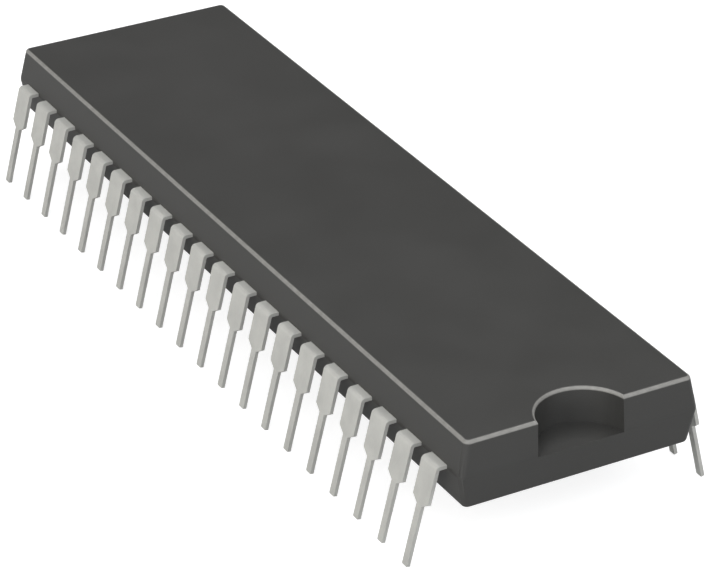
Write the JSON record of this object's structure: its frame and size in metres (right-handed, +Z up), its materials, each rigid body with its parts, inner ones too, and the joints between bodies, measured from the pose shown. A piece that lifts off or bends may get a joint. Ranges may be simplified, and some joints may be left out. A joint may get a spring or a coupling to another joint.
{
  "type": "dual in-line integrated circuit package",
  "caption": "Long flat moulded plastic body with a half-round notch in one end and a row of formed, outward-leaning tinned leads down each long side.",
  "frame": {"origin": "on the surface that the lead tips stand on, under the middle of the body", "axes": "+Y along the body away from the notch, +X towards the row that starts with lead 1, +Z up through the body's plain top"},
  "size_m": [0.0182, 0.0524, 0.0077],
  "materials": {
    "body_plastic": "satin moulded",
    "lead_tin": "satin tin plate",
    "frame_copper": "satin rolled copper alloy",
    "silver_epoxy": "matt silver-filled epoxy",
    "silicon": "polished, patterned",
    "wire_gold": "bright drawn wire"
  },
  "bodies": {
    "root": {"moulded_body": "body_plastic", "die_pad": "frame_copper", "die_adhesive": "silver_epoxy", "die": "silicon", "bond_wires": "wire_gold", "lead_01": "lead_tin", "lead_02": "lead_tin", "lead_03": "lead_tin", "lead_04": "lead_tin", "lead_05": "lead_tin", "lead_06": "lead_tin", "lead_07": "lead_tin", "lead_08": "lead_tin", "lead_09": "lead_tin", "lead_10": "lead_tin", "lead_11": "lead_tin", "lead_12": "lead_tin", "lead_13": "lead_tin", "lead_14": "lead_tin", "lead_15": "lead_tin", "lead_16": "lead_tin", "lead_17": "lead_tin", "lead_18": "lead_tin", "lead_19": "lead_tin", "lead_20": "lead_tin", "lead_21": "lead_tin", "lead_22": "lead_tin", "lead_23": "lead_tin", "lead_24": "lead_tin", "lead_25": "lead_tin", "lead_26": "lead_tin", "lead_27": "lead_tin", "lead_28": "lead_tin", "lead_29": "lead_tin", "lead_30": "lead_tin", "lead_31": "lead_tin", "lead_32": "lead_tin", "lead_33": "lead_tin", "lead_34": "lead_tin", "lead_35": "lead_tin", "lead_36": "lead_tin", "lead_37": "lead_tin", "lead_38": "lead_tin", "lead_39": "lead_tin", "lead_40": "lead_tin"}
  },
  "joints": []
}
